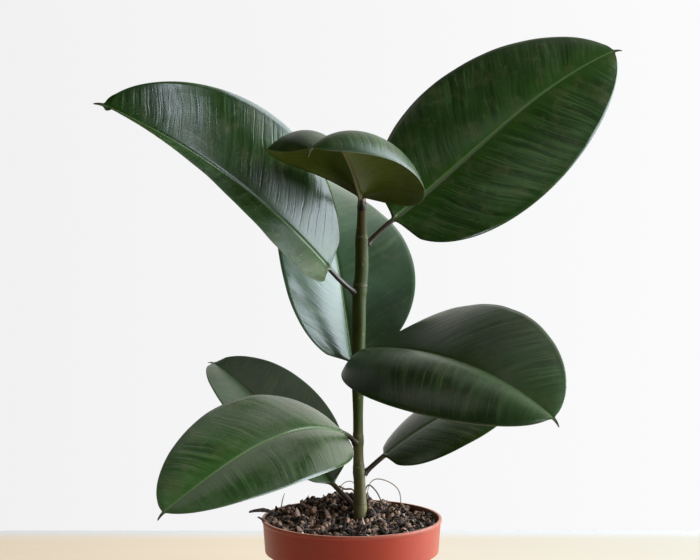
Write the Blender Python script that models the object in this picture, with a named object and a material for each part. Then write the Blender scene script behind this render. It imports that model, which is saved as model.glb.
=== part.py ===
"""A young rubber plant in a round nursery pot.

The plant has one upright stem, eight thick leaves set round it in a spiral and
a pointed sheath that covers its growing tip. It stands in potting mix, and the
mix fills a thin plastic pot with a deep rim band and drainage holes.

Frame: metres, +Z up. The origin is the middle of the pot's underside. The
plant is seen from the front when looking along +Y, with +X to the right.
Sizes below are in millimetres and angles in degrees, until a mesh is made.
"""

import math
from dataclasses import dataclass

import bmesh
import bpy
import numpy as np

MM = 0.001
TOUCH_GAP = 0.3

# The pot, a standard 12 cm nursery pot
POT_HEIGHT = 106.0
POT_RIM_RADIUS = 60.0
POT_WALL = 1.3
POT_LIP_HEIGHT = 2.4
POT_LIP_WIDTH = 0.8
POT_BAND_HEIGHT = 22.5
POT_BAND_LOW_RADIUS = 57.8
POT_WAIST_RADIUS = 53.2
POT_STEP_HEIGHT = 1.6
POT_EDGE_ROUND = 0.6
POT_BASE_RADIUS = 43.0
POT_BASE_ROUND = 2.0
POT_FLOOR = 1.8
POT_SIDES = 56
POT_CORNER_STEPS = 3
DRAIN_HOLES = 8
DRAIN_RADIUS = 4.5
DRAIN_CIRCLE = 32.0
DRAIN_SIDES = 12
DRAIN_CUT_DEPTH = 8.0

# The potting mix
SOIL_BELOW_RIM = 3.0
SOIL_DIP = 1.5
SOIL_DIP_AZIMUTH = 40.0
SOIL_MOUND = 12.0
SOIL_MOUND_PLACE = (-4.0, 28.0)
SOIL_MOUND_RADIUS = 25.0
SOIL_LUMP = 0.55
SOIL_LUMP_WAVES = 12
SOIL_LUMP_SHORTEST = 10.0
SOIL_LUMP_LONGEST = 24.0
SOIL_SEED = 7
SOIL_SIDES = 56
SOIL_RINGS = 9
SOIL_EDGE_SPARE = 2.0

# The stem: height, sideways place and radius where each changes
STEM_FOOT = 52.0
STEM_TOP = 316.0
STEM_LINE = ((52.0, 5.0), (120.0, 5.4), (152.0, 4.2), (205.0, 4.2), (250.0, 4.8), (275.0, 6.6), (316.0, 6.6))
STEM_GIRTH = ((52.0, 4.4), (112.0, 4.3), (131.0, 3.9), (151.0, 3.4), (171.0, 3.3), (205.0, 4.3),
              (235.0, 4.6), (277.0, 4.4), (291.0, 4.0), (304.0, 3.1), (316.0, 2.6))
STEM_SIDES = 14
STEM_STEP = 3.0
NODE_SWELL = 0.4
NODE_SWELL_LENGTH = 3.0

# The pointed sheath over the growing tip
BUD_LENGTH = 34.0
BUD_RADIUS = 2.7
BUD_TAPER = 1.7
BUD_POINT_RADIUS = 0.3
BUD_LEAN = 8.0
BUD_LEAN_AZIMUTH = 75.0
BUD_SIDES = 12
BUD_RINGS = 10

# What all leaves share
BLADE_THICK = 1.0
BLADE_BASE_POWER = 0.46
BLADE_TIP_POWER = 0.60
DRIP_TIP_LENGTH = 7.0
DRIP_TIP_HALF_WIDTH = 1.7
DRIP_TIP_END = 0.5
DRIP_TIP_HOOK = -32.0
DRIP_HOOK_LENGTH = 12.0
FLAT_HALF_WIDTH = 9.0
BLADE_START_SHARE = 0.03
PETIOLE_RADIUS = 1.7
PETIOLE_FOOT_RADIUS = 2.4
PETIOLE_FOOT_LENGTH = 5.0
PETIOLE_RINGS = 4
PETIOLE_FIRST_RING = 3.0
PETIOLE_LAST_RING_SHARE = 0.8
SEAT_REACH = 12.0
SEAT_HALVINGS = 30
RIB_HALF_WIDTH = 2.2
RIB_LARGEST_SHARE = 0.35
RIB_DEPTH = 2.2
RIB_END_DEPTH = 0.2
BLADE_RINGS = 22
BLADE_HALF_CELLS = 4
RING_CORNER = 12.0
LINE_STEPS = 400
SHARP_ANGLE = 45.0
SMALLEST_TURN = 0.001


@dataclass
class Leaf:
    """One leaf: where it leaves the stem, its size, and how it is held."""

    height: float     # of its node on the stem
    azimuth: float    # the way it points, from +X towards +Y
    petiole: float    # length of the leaf stalk
    length: float     # of the blade, drip tip included
    width: float      # of the blade, measured over its curve
    rise: float       # angle of the stalk above level at the stem
    bend: float       # added to it along the stalk
    droop: float      # added to it evenly along the blade
    droop_end: float  # added to it mostly towards the tip
    sweep: float      # turn of the azimuth along the blade
    roll: float       # turn about the midrib at the blade's base
    twist: float      # added to it along the blade
    fold: tuple       # rise of the left and right halves at the midrib
    curl: tuple       # added to it by the left and right margins
    close: float      # added to both folds along the blade


LEAVES = {
    "leaf_lower_back": Leaf(112, 132, 25, 160, 68, 29, 0, 19, -34, -1, -21, 5, (28, 35), (-9, -4), -9),
    "leaf_lower_right": Leaf(136, 7, 16, 121, 86, 43, -4, -28, -5, 2, 11, 3, (3, 2), (-25, -26), 6),
    "leaf_lower_front": Leaf(157, 235, 13, 190, 79, 42, -21, -90, 50, -1, -31, 16, (5, 9), (-30, -12), 10),
    "leaf_middle_back": Leaf(198, 110, 11, 182, 105, 57, 9, 12, -62, -2, -3, 43, (28, 28), (-14, 9), -29),
    "leaf_middle_right": Leaf(210, 298, 19, 179, 114, 63, -56, -16, -26, 21, 20, 9, (17, 36), (-16, -73), -7),
    "leaf_upper_left": Leaf(257, 215, 24, 195, 98, 33, 12, -24, 1, -11, -76, 5, (23, 2), (11, 3), 35),
    "leaf_upper_right": Leaf(289, 12, 22, 205, 108, 47, -10, 22, -39, 11, 70, -16, (12, 9), (-19, -14), -10),
    "leaf_top": Leaf(313, 267, 17, 133, 116, 40, -36, 134, -178, -24, -14, 23, (60, 63), (-119, -96), -28),
}


def clear_scene():
    """Remove every object, so the part is alone in its file."""
    for thing in list(bpy.data.objects):
        bpy.data.objects.remove(thing, do_unlink=True)


def material(name, colour, roughness):
    """A plain coat of the part's colour and gloss."""
    made = bpy.data.materials.new(name)
    made.use_nodes = True
    shader = made.node_tree.nodes["Principled BSDF"]
    shader.inputs["Base Color"].default_value = (*colour, 1.0)
    shader.inputs["Roughness"].default_value = roughness
    shader.inputs["Metallic"].default_value = 0.0
    made.diffuse_color = (*colour, 1.0)
    return made


def add_object(name, points, faces, coat):
    """Make one object from points in millimetres, shaded smooth."""
    mesh = bpy.data.meshes.new(name)
    mesh.from_pydata([tuple(float(c) * MM for c in p) for p in points], [], faces)
    mesh.validate()
    mesh.shade_smooth()
    mesh.set_sharp_from_angle(angle=math.radians(SHARP_ANGLE))
    mesh.materials.append(coat)
    thing = bpy.data.objects.new(name, mesh)
    bpy.context.scene.collection.objects.link(thing)
    return thing


def eased(at, stations):
    """The value at a height, eased between the stations given."""
    places = [s[0] for s in stations]
    values = [s[1] for s in stations]
    step = int(np.clip(np.searchsorted(places, at) - 1, 0, len(places) - 2))
    share = np.clip((at - places[step]) / (places[step + 1] - places[step]), 0.0, 1.0)
    share = share * share * (3.0 - 2.0 * share)
    return values[step] + (values[step + 1] - values[step]) * share


def stem_centre(height):
    return np.array([eased(height, STEM_LINE), 0.0, height])


def stem_radius(height):
    """The stem's radius, with a swelling at each leaf's node."""
    radius = eased(height, STEM_GIRTH)
    for leaf in LEAVES.values():
        radius += NODE_SWELL * math.exp(-((height - leaf.height) / NODE_SWELL_LENGTH) ** 2)
    return radius


def tube_faces(rings, sides, closed_ends=True):
    """Faces of a tube whose points run ring by ring, anticlockwise seen from its end."""
    faces = []
    for ring in range(rings - 1):
        for side in range(sides):
            after = (side + 1) % sides
            low = ring * sides
            high = low + sides
            faces.append((low + side, low + after, high + after, high + side))
    if closed_ends:
        faces.append(tuple(reversed(range(sides))))
        faces.append(tuple(range((rings - 1) * sides, rings * sides)))
    return faces


def make_stem():
    """A tapered round stem that stands in the hole in the potting mix."""
    heights = list(np.arange(STEM_FOOT, STEM_TOP, STEM_STEP)) + [STEM_TOP]
    points = []
    for height in heights:
        centre = stem_centre(height)
        radius = stem_radius(height)
        for side in range(STEM_SIDES):
            turn = 2.0 * math.pi * side / STEM_SIDES
            points.append(centre + radius * np.array([math.cos(turn), math.sin(turn), 0.0]))
    coat = material("stem_bark", (0.13, 0.12, 0.035), 0.55)
    return add_object("stem", points, tube_faces(len(heights), STEM_SIDES), coat)


def make_bud():
    """The sheath round the growing tip: a slim cone, swollen low down, leaning a little."""
    foot = stem_centre(STEM_TOP) + np.array([0.0, 0.0, TOUCH_GAP])
    lean = math.radians(BUD_LEAN)
    way = math.radians(BUD_LEAN_AZIMUTH)
    points = []
    for ring in range(BUD_RINGS):
        share = ring / (BUD_RINGS - 1)
        along = BUD_LENGTH * share
        side_shift = along * math.sin(lean) * share
        radius = (BUD_RADIUS - BUD_POINT_RADIUS) * (1.0 - share ** BUD_TAPER) + BUD_POINT_RADIUS
        centre = foot + np.array([side_shift * math.cos(way), side_shift * math.sin(way), along])
        for side in range(BUD_SIDES):
            turn = 2.0 * math.pi * side / BUD_SIDES
            points.append(centre + radius * np.array([math.cos(turn), math.sin(turn), 0.0]))
    coat = material("bud_sheath", (0.24, 0.035, 0.03), 0.4)
    return add_object("bud_sheath", points, tube_faces(BUD_RINGS, BUD_SIDES), coat)


def blade_half_width(share, leaf):
    """Half the blade's width at a share of its length: an oval with a drip tip."""
    drip = DRIP_TIP_LENGTH / leaf.length
    body = np.clip(share / (1.0 - drip), 0.0, 1.0)
    peak = BLADE_BASE_POWER / (BLADE_BASE_POWER + BLADE_TIP_POWER)
    full = peak ** BLADE_BASE_POWER * (1.0 - peak) ** BLADE_TIP_POWER
    oval = 0.5 * leaf.width * body ** BLADE_BASE_POWER * (1.0 - body) ** BLADE_TIP_POWER / full
    drip_width = DRIP_TIP_HALF_WIDTH * np.clip((1.0 - share) / (2.0 * drip), 0.0, 1.0) ** BLADE_TIP_POWER
    return np.maximum(np.hypot(oval, drip_width), DRIP_TIP_END)


def leaf_line(leaf, along):
    """The midrib's point and its forward, left and upward directions, at distances along it."""
    fine = np.linspace(0.0, leaf.petiole + leaf.length, LINE_STEPS)
    share = np.clip((fine - leaf.petiole) / leaf.length, 0.0, 1.0)
    stalk = np.clip(fine / leaf.petiole, 0.0, 1.0)
    hook = np.clip((fine - fine[-1]) / DRIP_HOOK_LENGTH + 1.0, 0.0, 1.0)
    pitch = leaf.rise + leaf.bend * stalk + leaf.droop * share + leaf.droop_end * share ** 2
    pitch = np.radians(pitch + DRIP_TIP_HOOK * hook ** 2)
    heading = np.radians(leaf.azimuth + leaf.sweep * share)
    ahead = np.stack([np.cos(pitch) * np.cos(heading), np.cos(pitch) * np.sin(heading), np.sin(pitch)], -1)
    step = fine[1] - fine[0]
    run = np.concatenate([np.zeros((1, 3)), np.cumsum(0.5 * step * (ahead[1:] + ahead[:-1]), axis=0)])
    way = math.radians(leaf.azimuth)
    foot = stem_centre(leaf.height)
    foot = foot + stem_radius(leaf.height) * np.array([math.cos(way), math.sin(way), 0.0])
    left = np.stack([-np.sin(heading), np.cos(heading), np.zeros_like(heading)], -1)
    up = np.cross(ahead, left)
    roll = np.radians(leaf.roll + leaf.twist * share)[:, None]
    rolled_left = left * np.cos(roll) + up * np.sin(roll)
    rolled_up = up * np.cos(roll) - left * np.sin(roll)
    rows = [run + foot, ahead, rolled_left, rolled_up]
    return [np.stack([np.interp(along, fine, row[:, axis]) for axis in range(3)], -1) for row in rows]


def blade_arc(leaf, side, across, share, half_width):
    """Sideways and upward offsets of a point on a half blade, and the half's slope there."""
    flat = min(1.0, half_width / FLAT_HALF_WIDTH)
    start = math.radians(leaf.fold[side] + leaf.close * share) * flat
    turn = math.radians(leaf.curl[side]) * flat
    if abs(turn) < SMALLEST_TURN:
        turn = SMALLEST_TURN
    slope = start + turn * across
    out = half_width * (math.sin(slope) - math.sin(start)) / turn
    lift = half_width * (math.cos(start) - math.cos(slope)) / turn
    return out, lift, slope


def leaf_ring(leaf, station, centre, left, up):
    """The top and bottom rows of points round the leaf at one station."""
    share = np.clip((station - leaf.petiole) / leaf.length, 0.0, 1.0)
    half_width = float(blade_half_width(share, leaf))
    spread = min(share / BLADE_START_SHARE, 1.0)
    spread = spread * spread * (3.0 - 2.0 * spread)
    foot = max(0.0, 1.0 - station / PETIOLE_FOOT_LENGTH)
    radius = PETIOLE_RADIUS + (PETIOLE_FOOT_RADIUS - PETIOLE_RADIUS) * foot ** 2
    rib_share = min(RIB_HALF_WIDTH / half_width, RIB_LARGEST_SHARE)
    rib_depth = RIB_END_DEPTH + (RIB_DEPTH - RIB_END_DEPTH) * (1.0 - share)
    cells = BLADE_HALF_CELLS
    top = []
    bottom = []
    for column in range(2 * cells + 1):
        from_rib = abs(column - cells)
        side = 0 if column < cells else 1
        sign = 1.0 if side == 0 else -1.0
        across = 0.0
        if from_rib > 0:
            across = rib_share + (1.0 - rib_share) * (from_rib - 1) / (cells - 1)
        out, lift, slope = blade_arc(leaf, side, across, share, half_width)
        if from_rib == 0:
            slope = 0.0
        place = centre + sign * out * left + lift * up
        normal = math.cos(slope) * up - sign * math.sin(slope) * left
        deep = 0.5 * BLADE_THICK + (rib_depth if from_rib == 0 else 0.0)
        turn = math.radians(RING_CORNER + (180.0 - 2.0 * RING_CORNER) * column / (2 * cells))
        round_top = centre + radius * (math.cos(turn) * left + math.sin(turn) * up)
        round_bottom = centre + radius * (math.cos(turn) * left - math.sin(turn) * up)
        top.append(spread * (place + 0.5 * BLADE_THICK * normal) + (1.0 - spread) * round_top)
        bottom.append(spread * (place - deep * normal) + (1.0 - spread) * round_bottom)
    return top, bottom


def seat_on_stem(point, ahead):
    """Slide a point back along the stalk until it is a touching gap off the stem."""
    near = 0.0
    far = SEAT_REACH
    for _ in range(SEAT_HALVINGS):
        middle = 0.5 * (near + far)
        tried = point - middle * ahead
        centre = stem_centre(tried[2])
        off = math.hypot(tried[0] - centre[0], tried[1] - centre[1])
        if off > stem_radius(tried[2]) + TOUCH_GAP:
            near = middle
        else:
            far = middle
    return point - near * ahead


def make_leaf(name, leaf, coat):
    """One leaf as a closed body: stalk, raised rib beneath and a thin folded blade."""
    stalk = list(np.linspace(PETIOLE_FIRST_RING, leaf.petiole * PETIOLE_LAST_RING_SHARE, PETIOLE_RINGS - 1))
    blade = [leaf.petiole + leaf.length * 0.5 * (1.0 - math.cos(math.pi * i / BLADE_RINGS))
             for i in range(BLADE_RINGS + 1)]
    stations = np.array(stalk + blade)
    centres, ahead, lefts, ups = leaf_line(leaf, stations)
    rings = [leaf_ring(leaf, s, c, l, u) for s, c, l, u in zip(stations, centres, lefts, ups)]
    first = tuple([seat_on_stem(p, ahead[0]) for p in row] for row in rings[0])
    rings.insert(0, first)
    columns = 2 * BLADE_HALF_CELLS + 1
    points = []
    for top, bottom in rings:
        points.extend(top)
        points.extend(bottom)
    faces = []
    for ring in range(len(rings) - 1):
        here = ring * 2 * columns
        there = here + 2 * columns
        for column in range(columns - 1):
            a, b, c, d = here + column, here + column + 1, there + column + 1, there + column
            faces.extend([(a, b, c), (a, c, d)])
            a, b, c, d = (i + columns for i in (a, b, c, d))
            faces.extend([(c, b, a), (d, c, a)])
        for column, flip in ((0, False), (columns - 1, True)):
            wall = (here + column, there + column, there + columns + column, here + columns + column)
            faces.append(tuple(reversed(wall)) if flip else wall)
    for ring, flip in ((0, False), (len(rings) - 1, True)):
        here = ring * 2 * columns
        for column in range(columns - 1):
            end = (here + column, here + columns + column, here + columns + column + 1, here + column + 1)
            faces.append(tuple(reversed(end)) if flip else end)
    return add_object(name, points, faces, coat)


def pot_profile():
    """The pot's wall from the middle of its floor, out and up, over the rim and back."""
    band_low = POT_HEIGHT - POT_BAND_HEIGHT
    waist = band_low - POT_STEP_HEIGHT
    outside = [(0.0, 0.0), (POT_BASE_RADIUS - POT_BASE_ROUND, 0.0)]
    for step in range(1, POT_CORNER_STEPS + 1):
        turn = 0.5 * math.pi * step / POT_CORNER_STEPS
        outside.append((POT_BASE_RADIUS - POT_BASE_ROUND * (1.0 - math.sin(turn)),
                        POT_BASE_ROUND * (1.0 - math.cos(turn))))
    outside += [
        (POT_WAIST_RADIUS, waist),
        (POT_BAND_LOW_RADIUS - POT_EDGE_ROUND, band_low),
        (POT_BAND_LOW_RADIUS, band_low + POT_EDGE_ROUND),
        (POT_RIM_RADIUS - POT_LIP_WIDTH, POT_HEIGHT - POT_LIP_HEIGHT),
        (POT_RIM_RADIUS, POT_HEIGHT - POT_LIP_HEIGHT + POT_EDGE_ROUND),
        (POT_RIM_RADIUS, POT_HEIGHT - POT_EDGE_ROUND),
        (POT_RIM_RADIUS - POT_EDGE_ROUND, POT_HEIGHT),
    ]
    inside = [
        (POT_RIM_RADIUS - POT_LIP_WIDTH - POT_WALL, POT_HEIGHT),
        (POT_BAND_LOW_RADIUS - POT_WALL, band_low + POT_WALL),
        (POT_WAIST_RADIUS - POT_WALL, waist + POT_WALL),
        (POT_BASE_RADIUS - POT_WALL, POT_BASE_ROUND + POT_FLOOR),
        (POT_BASE_RADIUS - POT_WALL - POT_BASE_ROUND, POT_FLOOR),
        (0.0, POT_FLOOR),
    ]
    return outside + inside


def turned(profile, sides):
    """Points and faces of a profile turned about +Z; it starts and ends on the axis."""
    points = [(0.0, 0.0, profile[0][1])]
    for radius, height in profile[1:-1]:
        for side in range(sides):
            turn = 2.0 * math.pi * side / sides
            points.append((radius * math.cos(turn), radius * math.sin(turn), height))
    points.append((0.0, 0.0, profile[-1][1]))
    last = len(points) - 1
    rings = len(profile) - 2
    faces = []
    for side in range(sides):
        after = (side + 1) % sides
        faces.append((0, 1 + after, 1 + side))
        for ring in range(rings - 1):
            low = 1 + ring * sides
            high = low + sides
            faces.append((low + side, low + after, high + after, high + side))
        top = 1 + (rings - 1) * sides
        faces.append((top + side, top + after, last))
    return points, faces


def make_pot():
    """A thin moulded pot, with its drainage holes cut through the floor."""
    coat = material("pot_plastic", (0.42, 0.12, 0.07), 0.55)
    pot = add_object("pot", *turned(pot_profile(), POT_SIDES), coat)
    drill = bmesh.new()
    for hole in range(DRAIN_HOLES):
        turn = 2.0 * math.pi * (hole + 0.5) / DRAIN_HOLES
        made = bmesh.ops.create_cone(drill, cap_ends=True, segments=DRAIN_SIDES, radius1=DRAIN_RADIUS * MM,
                                     radius2=DRAIN_RADIUS * MM, depth=DRAIN_CUT_DEPTH * MM)
        place = (DRAIN_CIRCLE * MM * math.cos(turn), DRAIN_CIRCLE * MM * math.sin(turn), 0.0)
        bmesh.ops.translate(drill, verts=made["verts"], vec=place)
    mesh = bpy.data.meshes.new("drain_cutter")
    drill.to_mesh(mesh)
    drill.free()
    cutter = bpy.data.objects.new("drain_cutter", mesh)
    bpy.context.scene.collection.objects.link(cutter)
    cutter.hide_render = True
    cutter.display_type = "WIRE"
    cut = pot.modifiers.new("drain_holes", "BOOLEAN")
    cut.operation = "DIFFERENCE"
    cut.object = cutter
    cut.solver = "EXACT"
    return pot


def pot_inner_radius(height):
    """The radius of the pot's inner wall at a height."""
    stations = pot_profile()[-6:-1]
    heights = [h for _, h in reversed(stations)]
    radii = [r for r, _ in reversed(stations)]
    return float(np.interp(height, heights, radii))


def soil_waves():
    """Seeded waves that make the potting mix lumpy."""
    draw = np.random.default_rng(SOIL_SEED)
    waves = []
    for _ in range(SOIL_LUMP_WAVES):
        heading = draw.uniform(0.0, 2.0 * math.pi)
        length = draw.uniform(SOIL_LUMP_SHORTEST, SOIL_LUMP_LONGEST)
        waves.append((heading, 2.0 * math.pi / length, draw.uniform(0.0, 2.0 * math.pi)))
    return waves


def soil_height(x, y, waves):
    """The height of the mix: a mound behind the stem, a dip at the back right, and lumps."""
    level = POT_HEIGHT - SOIL_BELOW_RIM
    off = math.hypot(x - SOIL_MOUND_PLACE[0], y - SOIL_MOUND_PLACE[1]) / SOIL_MOUND_RADIUS
    level += SOIL_MOUND * math.exp(-off * off)
    turn = math.atan2(y, x) - math.radians(SOIL_DIP_AZIMUTH)
    level -= SOIL_DIP * max(0.0, math.cos(turn)) ** 2 * min(1.0, math.hypot(x, y) / POT_WAIST_RADIUS) ** 3
    for heading, rate, phase in waves:
        level += SOIL_LUMP * math.sin(rate * (x * math.cos(heading) + y * math.sin(heading)) + phase)
    return level


def make_soil():
    """The potting mix fills the pot and has a plain round hole for the stem."""
    waves = soil_waves()
    edge = POT_HEIGHT - SOIL_BELOW_RIM - SOIL_DIP - SOIL_EDGE_SPARE
    low = POT_FLOOR + TOUCH_GAP
    band_low = POT_HEIGHT - POT_BAND_HEIGHT
    ledge = band_low + POT_WALL + 1.5 * TOUCH_GAP
    base_inner = POT_BASE_RADIUS - POT_WALL - 1.5 * TOUCH_GAP
    walls = [
        (base_inner - POT_BASE_ROUND, low),
        (base_inner, POT_BASE_ROUND + POT_FLOOR + TOUCH_GAP),
        (POT_WAIST_RADIUS - POT_WALL - TOUCH_GAP, ledge - POT_STEP_HEIGHT),
        (POT_BAND_LOW_RADIUS - POT_WALL - TOUCH_GAP, ledge),
    ]
    hole_x = stem_centre(POT_HEIGHT)[0]
    hole_radius = STEM_GIRTH[0][1] + NODE_SWELL + TOUCH_GAP
    hole_floor = STEM_FOOT - TOUCH_GAP
    top_edge = pot_inner_radius(edge) - TOUCH_GAP
    rings = []
    for radius, height in walls:
        rings.append([(radius, 0.0, height)] * SOIL_SIDES)
    for ring in range(SOIL_RINGS + 1):
        share = ring / SOIL_RINGS
        radius = top_edge + (hole_radius - top_edge) * share
        shift = hole_x * share
        rings.append([(radius, shift, None)] * SOIL_SIDES)
    rings.append([(hole_radius, hole_x, hole_floor)] * SOIL_SIDES)
    points = [(0.0, 0.0, low)]
    for ring in rings:
        for side, (radius, shift, height) in enumerate(ring):
            turn = 2.0 * math.pi * side / SOIL_SIDES
            x = shift + radius * math.cos(turn)
            y = radius * math.sin(turn)
            points.append((x, y, soil_height(x, y, waves) if height is None else height))
    points.append((hole_x, 0.0, hole_floor))
    last = len(points) - 1
    faces = []
    for side in range(SOIL_SIDES):
        after = (side + 1) % SOIL_SIDES
        faces.append((0, 1 + after, 1 + side))
        for ring in range(len(rings) - 1):
            here = 1 + ring * SOIL_SIDES
            there = here + SOIL_SIDES
            faces.append((here + side, here + after, there + after))
            faces.append((here + side, there + after, there + side))
        top = 1 + (len(rings) - 1) * SOIL_SIDES
        faces.append((top + side, top + after, last))
    return add_object("potting_mix", points, faces, material("potting_mix", (0.035, 0.02, 0.012), 0.95))


def main():
    clear_scene()
    make_pot()
    make_soil()
    make_stem()
    make_bud()
    for name, leaf in LEAVES.items():
        make_leaf(name, leaf, material(name, (0.02, 0.07, 0.02), 0.3))


main()
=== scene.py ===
# %% [markdown]
# # A young rubber plant in its nursery pot
#
# The plant has one upright stem, eight thick glossy leaves and a pointed sheath
# round its growing tip. It stands in a lumpy potting mix, in a thin moulded pot.
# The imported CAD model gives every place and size. This lesson dresses it: each
# CAD node gets a finer piece of the same form, with a finish made of nodes.

import math
from collections import namedtuple
from functools import partial

import bpy
import numpy as np
from mathutils import Matrix


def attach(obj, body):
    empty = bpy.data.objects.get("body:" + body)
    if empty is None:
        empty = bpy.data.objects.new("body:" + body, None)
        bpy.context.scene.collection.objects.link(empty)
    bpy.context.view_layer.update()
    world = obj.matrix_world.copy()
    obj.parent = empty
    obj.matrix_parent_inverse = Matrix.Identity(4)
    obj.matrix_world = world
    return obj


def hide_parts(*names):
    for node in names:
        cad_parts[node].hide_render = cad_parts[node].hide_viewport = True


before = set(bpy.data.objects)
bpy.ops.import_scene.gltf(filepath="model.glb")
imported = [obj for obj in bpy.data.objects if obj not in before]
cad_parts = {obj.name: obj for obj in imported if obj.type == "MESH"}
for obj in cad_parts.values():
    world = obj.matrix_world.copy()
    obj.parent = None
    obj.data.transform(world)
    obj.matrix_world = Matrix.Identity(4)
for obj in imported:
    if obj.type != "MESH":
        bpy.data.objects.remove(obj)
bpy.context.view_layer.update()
MM = 0.001
print("CAD nodes:", ", ".join(sorted(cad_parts)))

# %% [markdown]
# ## Working by hand, from a script
#
# Blender's operators act on all that is selected, and the loaded nodes are
# selected, so each piece is first made the only one. Shapes are worked out in
# millimetres, because plants and pots are measured that way, and are scaled to
# metres when the points are moved. The object itself stays at the origin.

# %% Small helpers for meshes


def only(piece):
    """Select this piece alone, as a click on it does."""
    bpy.ops.object.select_all(action="DESELECT")
    piece.select_set(True)
    bpy.context.view_layer.objects.active = piece


def named(name):
    """Name what an operator has just added, and put its place into its mesh."""
    piece = bpy.context.object
    piece.name = name
    piece.data.name = name
    only(piece)
    bpy.ops.object.transform_apply(location=True, rotation=True, scale=True)
    return piece


def points_of(piece):
    """The piece's points in millimetres, one row each."""
    flat = np.empty(3 * len(piece.data.vertices), np.float32)
    piece.data.vertices.foreach_get("co", flat)
    return flat.reshape(-1, 3).astype(float) / MM


def move_points(piece, places):
    """Put the piece's points at these places, given in millimetres."""
    piece.data.vertices.foreach_set("co", (places * MM).astype(np.float32).ravel())
    piece.data.update()


def keep_values(piece, name, values):
    """Store a number or three numbers at each point, for a material to read."""
    kind = "FLOAT_VECTOR" if values.ndim == 2 else "FLOAT"
    layer = piece.data.attributes.new(name, kind, "POINT")
    layer.data.foreach_set("vector" if values.ndim == 2 else "value", values.astype(np.float32).ravel())


def set_all(thing, **settings):
    """Set a thing's settings by name."""
    for name, value in settings.items():
        setattr(thing, name, value)


def apply_modifier(piece, kind, **settings):
    """Add a modifier with its settings and apply it at once."""
    only(piece)
    modifier = piece.modifiers.new(kind.lower(), kind)
    set_all(modifier, **settings)
    bpy.ops.object.modifier_apply(modifier=modifier.name)


def faces_out():
    """Point every face outwards and leave edit mode."""
    bpy.ops.mesh.select_all(action="SELECT")
    bpy.ops.mesh.normals_make_consistent(inside=False)
    bpy.ops.object.mode_set(mode="OBJECT")


def smoothstep(share):
    """A share from 0 to 1 with a soft start and end."""
    share = np.clip(share, 0.0, 1.0)
    return share * share * (3.0 - 2.0 * share)


def finish_piece(piece, coat, node=None, edge_angle=None):
    """Give a piece its material, its shading and its place in the frame."""
    piece.data.materials.clear()
    piece.data.materials.append(coat)
    only(piece)
    if edge_angle is None:
        bpy.ops.object.shade_smooth()
    else:
        bpy.ops.object.shade_smooth_by_angle(angle=math.radians(edge_angle))
    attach(piece, "root")
    if node:
        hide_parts(node)
    print(f"{piece.name}: {len(piece.data.polygons)} faces, {coat.name}, {len(coat.node_tree.nodes)} nodes")


# %% [markdown]
# ## Finishes from nodes
#
# A picture editor shows colours as sRGB hex values, and Blender mixes light in
# linear numbers, so one function turns the first into the second. One more
# function adds a node: it fills its sockets, makes its links and hands back an
# output, so a finish reads from top to bottom like a recipe. A pattern's Scale
# counts its cells in a metre, so it is worked out from a real size.
#
# Sockets go by number where a list is given. A Map Range takes its value, the
# two ends it comes from and the two it goes to. A Mix takes its share at 0, its
# numbers at 2 and 3 or its colours at 6 and 7. Object coordinates are in metres.

# %% Small helpers for materials


def colour(hex_value):
    """An sRGB hex value as the linear red, green, blue and alpha of a socket."""
    parts = [int(hex_value[place:place + 2], 16) / 255.0 for place in (1, 3, 5)]
    linear = [p / 12.92 if p <= 0.04045 else ((p + 0.055) / 1.055) ** 2.4 for p in parts]
    return (*linear, 1.0)


def cells(size):
    """A pattern's Scale for cells of this size in millimetres, to a whole number a metre."""
    return round(1.0 / (size * MM))


def fill_sockets(node, values):
    """Set sockets by name or number; a hex value turns linear, another node's output is linked."""
    for socket, value in values.items():
        if isinstance(value, bpy.types.NodeSocket):
            node.id_data.links.new(value, node.inputs[socket])
        else:
            node.inputs[socket].default_value = colour(value) if isinstance(value, str) else value


def add_node(tree, kind, values=(), out=0, **settings):
    """Add a node with its settings and links; an operation may follow its kind.

    The values are a dict, or a list for the first sockets in turn."""
    kind, _, operation = kind.partition(" ")
    made = tree.nodes.new("ShaderNode" + kind)
    if operation:
        made.operation = operation
    set_all(made, **settings)
    fill_sockets(made, values if isinstance(values, dict) else dict(enumerate(values)))
    return made.outputs[out] if out is not None else made


def new_material(name, **shader_values):
    """A material; gives it, a function that adds a node to it, its shader and Object place."""
    coat = bpy.data.materials.new(name)
    coat.use_nodes = True
    tree = coat.node_tree
    shader = tree.nodes["Principled BSDF"]
    fill_sockets(shader, {socket.replace("_", " "): value for socket, value in shader_values.items()})
    add = partial(add_node, tree)
    return coat, add, shader, add("TexCoord", out="Object")


COLOURS = {"out": 2, "data_type": "RGBA"}
print("a noise with cells of 1 mm has Scale", cells(1.0))

# %% [markdown]
# ## The pot
#
# The real pot is polypropylene, injection moulded in a matt terracotta colour.
# It has a tapered body, a deep band round the top for grip and stacking, a thin
# lip, and holes in its base. It could be turned as one profile with Spin. Here
# one round face is extruded and scaled step by step, up the outside, over the
# lip and down the inside, because that is how one would draw it by hand.

# %% The pot's sizes, in millimetres
POT_HEIGHT, POT_SIDES = 106.0, 160
POT_WALL, POT_FLOOR = 1.3, 1.8
BASE_RADIUS, BASE_ROUND = 43.0, 2.0
WAIST = (53.2, 81.9)
BAND_LOW = (57.8, 83.5)
BAND_HIGH = (59.2, 103.4)
LIP_LOW = (60.0, 103.9)
LIP_TOP = (60.0, POT_HEIGHT)
EDGE_ROUND, EDGE_ANGLE = 0.55, 22.0
CORNER_STEPS = 7

# %% Extrude and scale one round face into the pot


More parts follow.
